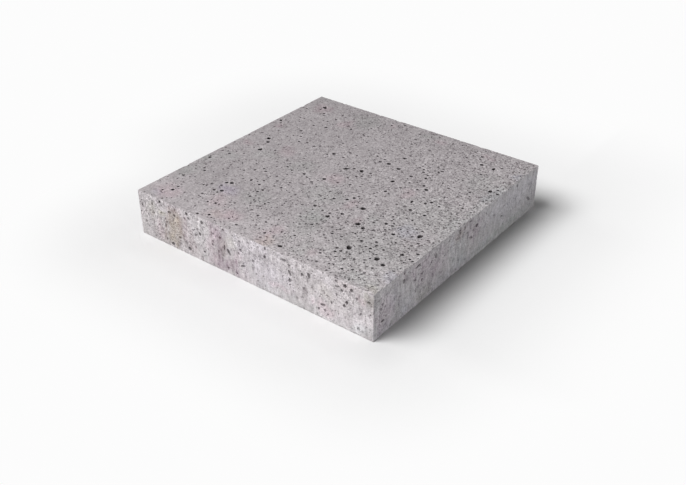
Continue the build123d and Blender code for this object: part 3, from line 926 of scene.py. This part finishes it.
# %% Make the slab
sharp_from = 38
mesh = bpy.data.meshes.new("cast_slab")
mesh.from_pydata((shaped * MM).tolist(), [], triangles.tolist())
for name, kind, values in (
    ("tint", "FLOAT_VECTOR", tint),
    ("hollow", "FLOAT", dark),
    ("worn", "FLOAT", worn),
    ("grain", "FLOAT", grain),
):
    attribute = mesh.attributes.new(name, kind, "POINT")
    key = "value" if kind == "FLOAT" else "vector"
    attribute.data.foreach_set(key, values.astype(np.float32).ravel())
mesh.shade_smooth()
mesh.set_sharp_from_angle(angle=math.radians(sharp_from))
mesh.validate()
slab = bpy.data.objects.new("cast_slab", mesh)
bpy.context.collection.objects.link(slab)
print("slab mesh:", len(mesh.vertices), "points,", len(mesh.polygons), "triangles")

# %% [markdown]
# ## Shader maths as Python
#
# A material is a graph of nodes, and a graph written link by link is hard to read. This small class
# wraps the output of a node, so that a sum of two of them adds the Math node for it. Every other node
# comes from one method, which sets the node's own settings first and then its sockets.

# %% A socket that does maths
class Flow:
    """A number, vector or colour on its way through the material."""

    tree = None

    def __init__(self, socket):
        self.socket = socket

    @classmethod
    def node(cls, kind, settings=None, sockets=None, output=0):
        node = cls.tree.nodes.new(kind)
        for name, value in (settings or {}).items():
            setattr(node, name, value)
        for name, value in (sockets or {}).items():
            if isinstance(value, Flow):
                cls.tree.links.new(value.socket, node.inputs[name])
            else:
                node.inputs[name].default_value = value
        return cls(node.outputs[output])

    def maths(self, operation, first, second):
        return Flow.node("ShaderNodeMath", {"operation": operation}, {0: first, 1: second})

    def __add__(self, other):
        return self.maths("ADD", self, other)

    def __sub__(self, other):
        return self.maths("SUBTRACT", self, other)

    def __rsub__(self, other):
        return self.maths("SUBTRACT", other, self)

    def __mul__(self, other):
        return self.maths("MULTIPLY", self, other)

    def __pow__(self, other):
        return self.maths("POWER", self, other)

    __radd__, __rmul__ = __add__, __mul__

    def larger(self, other):
        return self.maths("MAXIMUM", self, other)

    def ramp(self, start, end):
        """0 at start and 1 at end, with soft ends. End may be the smaller one."""
        settings = {"interpolation_type": "SMOOTHSTEP"}
        return Flow.node("ShaderNodeMapRange", settings, {"Value": self, "From Min": start, "From Max": end})

    def split(self):
        return [Flow.node("ShaderNodeSeparateXYZ", {}, {0: self}, axis) for axis in range(3)]

    def vector(self, operation, other=None, output=0):
        """A sum on vectors or colours, part by part, or one that gives their length or distance."""
        sockets = {0: self} if other is None else {0: self, 1: other}
        return Flow.node("ShaderNodeVectorMath", {"operation": operation}, sockets, output)

    def times(self, other):
        return self.vector("MULTIPLY", other)

    def plus(self, other):
        return self.vector("ADD", other)

    def towards(self, colour, amount):
        """A colour mixed with another by an amount from 0 to 1."""
        settings = {"data_type": "RGBA"}
        return Flow.node("ShaderNodeMix", settings, {0: amount, 6: self, 7: colour}, 2)


concrete = bpy.data.materials.new("cast_concrete")
concrete.use_nodes = True
Flow.tree = concrete.node_tree
print("material:", concrete.name)

# %% [markdown]
# ## What the material can read
#
# The place on the slab comes from Object coordinates, turned into millimetres so that every size
# below is one that could be measured on the slab. The tint, how worn the skin is, how strong the
# grain is and the painted shade and dirt inside a pore come from the values painted on the points.

# %% Places, sizes and masks
place = Flow.node("ShaderNodeTexCoord", output="Object").times((1 / MM,) * 3)


def painted_on(name, output="Fac"):
    """A value that was painted on the points of the skin."""
    return Flow.node("ShaderNodeAttribute", {"attribute_name": name}, output=output)


tint_here = painted_on("tint", "Vector")
hollow, worn_here, grain_here = painted_on("hollow"), painted_on("worn"), painted_on("grain")


def cloud(size, detail=2, roughness=0.5, where=place):
    """Noise from 0 to 1 whose lumps are about that many millimetres wide."""
    sockets = {"Vector": where, "Scale": 1 / size, "Detail": detail, "Roughness": roughness}
    return Flow.node("ShaderNodeTexNoise", {}, sockets)


def grains(size, output):
    """Cells of about that many millimetres: Distance to the middle, or a Color for each."""
    return Flow.node("ShaderNodeTexVoronoi", {}, {"Vector": place, "Scale": 1 / size}, output)


print("nodes so far:", len(Flow.tree.nodes))

# %% [markdown]
# ## Sand, pinholes and cement skin
#
# Close up, the walking face is sand in grey paste. Most grains are a little lighter or darker than
# the next, a few are pale quartz or dark stone, and between them are pinholes too small to be worth a
# triangle. The sides were cast against the mould, so they have a smoother skin of cement milk, which
# dried in pale blotches and in faint upright runs, with dark flecks where the skin is thin.
#
# The pattern is one level of grey that the tint is multiplied by. A tinted grey that is multiplied
# gets more colourful where it gets lighter, and real sand doesn't, so only a gentler level multiplies
# the tint and the rest of it is added as plain grey.

# %% Mix the tones
sand = grains(1.7, "Color").split()[0]
pale_grain, dark_grain = sand.ramp(0.72, 0.95), sand.ramp(0.24, 0.05)
speckle = cloud(1.9, 2, 0.6)
fine_sand = cloud(0.8, 2, 0.6)
mottle = cloud(4.4, 3, 0.6)
clumps = cloud(11, 2, 0.5)
drift = cloud(34, 3, 0.5)

pin_distance = grains(2.6, "Distance")
pin_chance = grains(2.6, "Color").split()[1]
pin_size = (pin_chance + grain_here * 0.40 - 0.86).ramp(0, 0.45) * 0.36
pinhole = (pin_size - pin_distance).ramp(-0.06, 0.04)

upright = place.times((1, 1, 0.16))
leaning = place.times((1, 1, 0.55))
runs = cloud(5, 3, 0.6, upright)
skin_patches = cloud(13, 4, 0.62).ramp(0.44, 0.58)
dark_flecks = cloud(4, 3, 0.68, leaning).ramp(0.54, 0.67)
pale_flecks = cloud(4.6, 3, 0.68, leaning).ramp(0.55, 0.69)

sandy = (speckle - 0.5) * 2.3 + (fine_sand - 0.5) * 0.9 + pale_grain * 0.26 - dark_grain * 0.42
sandy = sandy + (mottle - 0.5) * 1.10
skinned = (speckle - 0.5) * 1.1 + (fine_sand - 0.5) * 0.6 - dark_flecks * 0.40 + pale_flecks * 0.30
skinned = skinned + (runs - 0.5) * 1.00 + (mottle - 0.5) * 0.80
walking_level = 0.98 + sandy * grain_here + (drift - 0.5) * 0.26 + (clumps - 0.5) * 0.22
side_level = 0.94 + skinned * grain_here + skin_patches * 0.14
level = walking_level * worn_here + side_level * (1 - worn_here)

hue_level = level**0.55
base = tint_here.times(hue_level).plus((level - hue_level) * 0.44)
# The insides of pinholes and pores are painted dark: painted shade, with some dirt.
pinhole_shade_and_dirt = (0.0893, 0.0780, 0.0823, 1)
pore_lip = (0.535, 0.500, 0.512, 1)
pore_floor_shade_and_dirt = (0.0242, 0.0190, 0.0207, 1)
base = base.towards(pinhole_shade_and_dirt, pinhole * (0.25 + worn_here * 0.55))
base = base.towards(pore_lip, hollow.ramp(-0.05, -0.5) * 0.35)
base = base.towards(pore_floor_shade_and_dirt, hollow.ramp(0.25, 0.95) * 0.92)

height = (speckle - 0.5) * 0.28 + (fine_sand - 0.5) * 0.22 + (mottle - 0.5) * 0.25
height = height * (0.35 + worn_here * 0.65) - pinhole * 0.35 - dark_flecks * (1 - worn_here) * 0.12
relief = Flow.node("ShaderNodeBump", {}, {"Strength": 0.9, "Distance": MM, "Height": height})

finish = concrete.node_tree.nodes["Principled BSDF"]
roughness = 0.86 + (fine_sand - 0.5) * 0.2
for value, socket in ((base, "Base Color"), (roughness, "Roughness"), (relief, "Normal")):
    Flow.tree.links.new(value.socket, finish.inputs[socket])
finish.inputs["Specular IOR Level"].default_value = 0.3
mesh.materials.append(concrete)
print("nodes in the finish:", len(Flow.tree.nodes))

# %% Hang the slab on its frame
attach(slab, "root")
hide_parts("paving_slab")

# %% [markdown]
# ## Floor and light
#
# The slab lies on a plain white floor. A real white floor would never render quite white and would
# show where it ends, so it fades to white with its distance from the slab, for the camera alone. The
# fade reaches further where the shadow falls, to the right and behind. Close to the slab the floor is
# painted a little darker, a painted shade, and most of all a painted shadow in the lee of the light,
# but not at the far right corner, which the light looks round. The light is a broad soft sun from the
# left of the picture, high enough for a shadow shorter than the slab is thick, and three faint low
# ones that open the sides without greying the shadow.

# %% Lay the floor
floor_reach = 6
floor_level = -0.05 * MM
floor_mesh = bpy.data.meshes.new("floor")
ways = ((-1, -1), (1, -1), (1, 1), (-1, 1))
corners = [(x * floor_reach, y * floor_reach, floor_level) for x, y in ways]
floor_mesh.from_pydata(corners, [], [(0, 1, 2, 3)])
floor = bpy.data.objects.new("floor", floor_mesh)
bpy.context.collection.objects.link(floor)

white = bpy.data.materials.new("white_floor")
white.use_nodes = True
Flow.tree = white.node_tree
edge, soft = half * MM, 0.012


def seen_by(*kinds_of_ray):
    """1 where a ray of one of those kinds looks, otherwise 0."""
    rays = [Flow.node("ShaderNodeLightPath", output=f"Is {kind} Ray") for kind in kinds_of_ray]
    first, *others = rays
    for other in others:
        first = first.larger(other)
    return first


# How far a place is beyond the slab's outline, in metres, and on which side of it
from_middle = Flow.node("ShaderNodeTexCoord", output="Object")
outside = from_middle.vector("ABSOLUTE").vector("SUBTRACT", (edge, edge, 1)).vector("MAXIMUM", (0, 0, 0))
beyond = outside.vector("LENGTH", output="Value")
along_x, along_y, _ = from_middle.split()
right_of = along_x.ramp(edge - soft, edge) * along_y.ramp(-edge, -edge + 5 * soft)
behind = along_y.ramp(edge - soft, edge) * along_x.ramp(-edge, -edge + 3 * soft)
beside_slab = along_y.ramp(edge + 0.04, edge - 0.02)
past_corner = from_middle.vector("DISTANCE", (edge, edge + 0.01, 0), "Value")
open_corner = 1 - past_corner.ramp(0.044, 0.012)

# The fade to white, and the painted shade and painted shadow that darken the paint
shadow_end = (along_y - along_x * 0.5).ramp(0.05, 0.25)
faded = beyond.ramp(0, 0.18 + shadow_end * 0.11 + right_of * 0.05) * seen_by("Camera", "Glossy")
painted_contact_shade = beyond.ramp(0.06, 0) * (0.04 + along_x.ramp(-edge - 0.01, -edge + 0.03) * 0.085)
painted_lee_shadow = (beyond.ramp(0.09, 0) * 0.16 + beyond.ramp(0.012, 0) * 0.08) * open_corner
painted_lee_shadow = painted_lee_shadow + beyond.ramp(0.05, 0.08) * beyond.ramp(0.19, 0.09) * beside_slab * 0.05
paint_level = 0.95 - painted_contact_shade - painted_lee_shadow * right_of.larger(behind)
paint = Flow.node("ShaderNodeBsdfDiffuse", {}, {"Color": paint_level})
glow = Flow.node("ShaderNodeEmission", {}, {"Color": (0.975, 0.975, 0.975, 1)})
both = Flow.node("ShaderNodeMixShader", {}, {0: faded, 1: paint, 2: glow})
Flow.tree.links.new(both.socket, white.node_tree.nodes["Material Output"].inputs["Surface"])
floor_mesh.materials.append(white)
print("floor of", floor_reach * 2, "m")

# %% Hang the lights
ambient = 0.07


def soft_sun(name, bearing, height, spread, strength):
    """A sun in that direction. Strength 1 shows the colour of a surface that faces it as written."""
    sun = bpy.data.objects.new(name, bpy.data.lights.new(name, "SUN"))
    sun.data.energy = math.pi * strength
    sun.data.angle = math.radians(spread)
    sun.rotation_euler = direction(bearing, height).to_track_quat("Z", "Y").to_euler()
    bpy.context.collection.objects.link(sun)


soft_sun("key", 232, 50, 40, 0.97)
soft_sun("front_fill", 268, 8, 24, 0.15)
soft_sun("right_fill", -8, 6, 24, 0.22)
soft_sun("back_fill", 75, 10, 40, 0.20)

world = bpy.data.worlds.new("studio")
bpy.context.scene.world = world
world.use_nodes = True
Flow.tree = world.node_tree
brightness = ambient + seen_by("Camera", "Glossy", "Transmission") * (1 - ambient)
studio = world.node_tree.nodes["Background"]
Flow.tree.links.new(brightness.socket, studio.inputs["Strength"])
studio.inputs["Color"].default_value = (1, 1, 1, 1)
bpy.context.scene.view_settings.view_transform = "Standard"
print("lights:", [o.name for o in bpy.context.scene.objects if o.type == "LIGHT"])
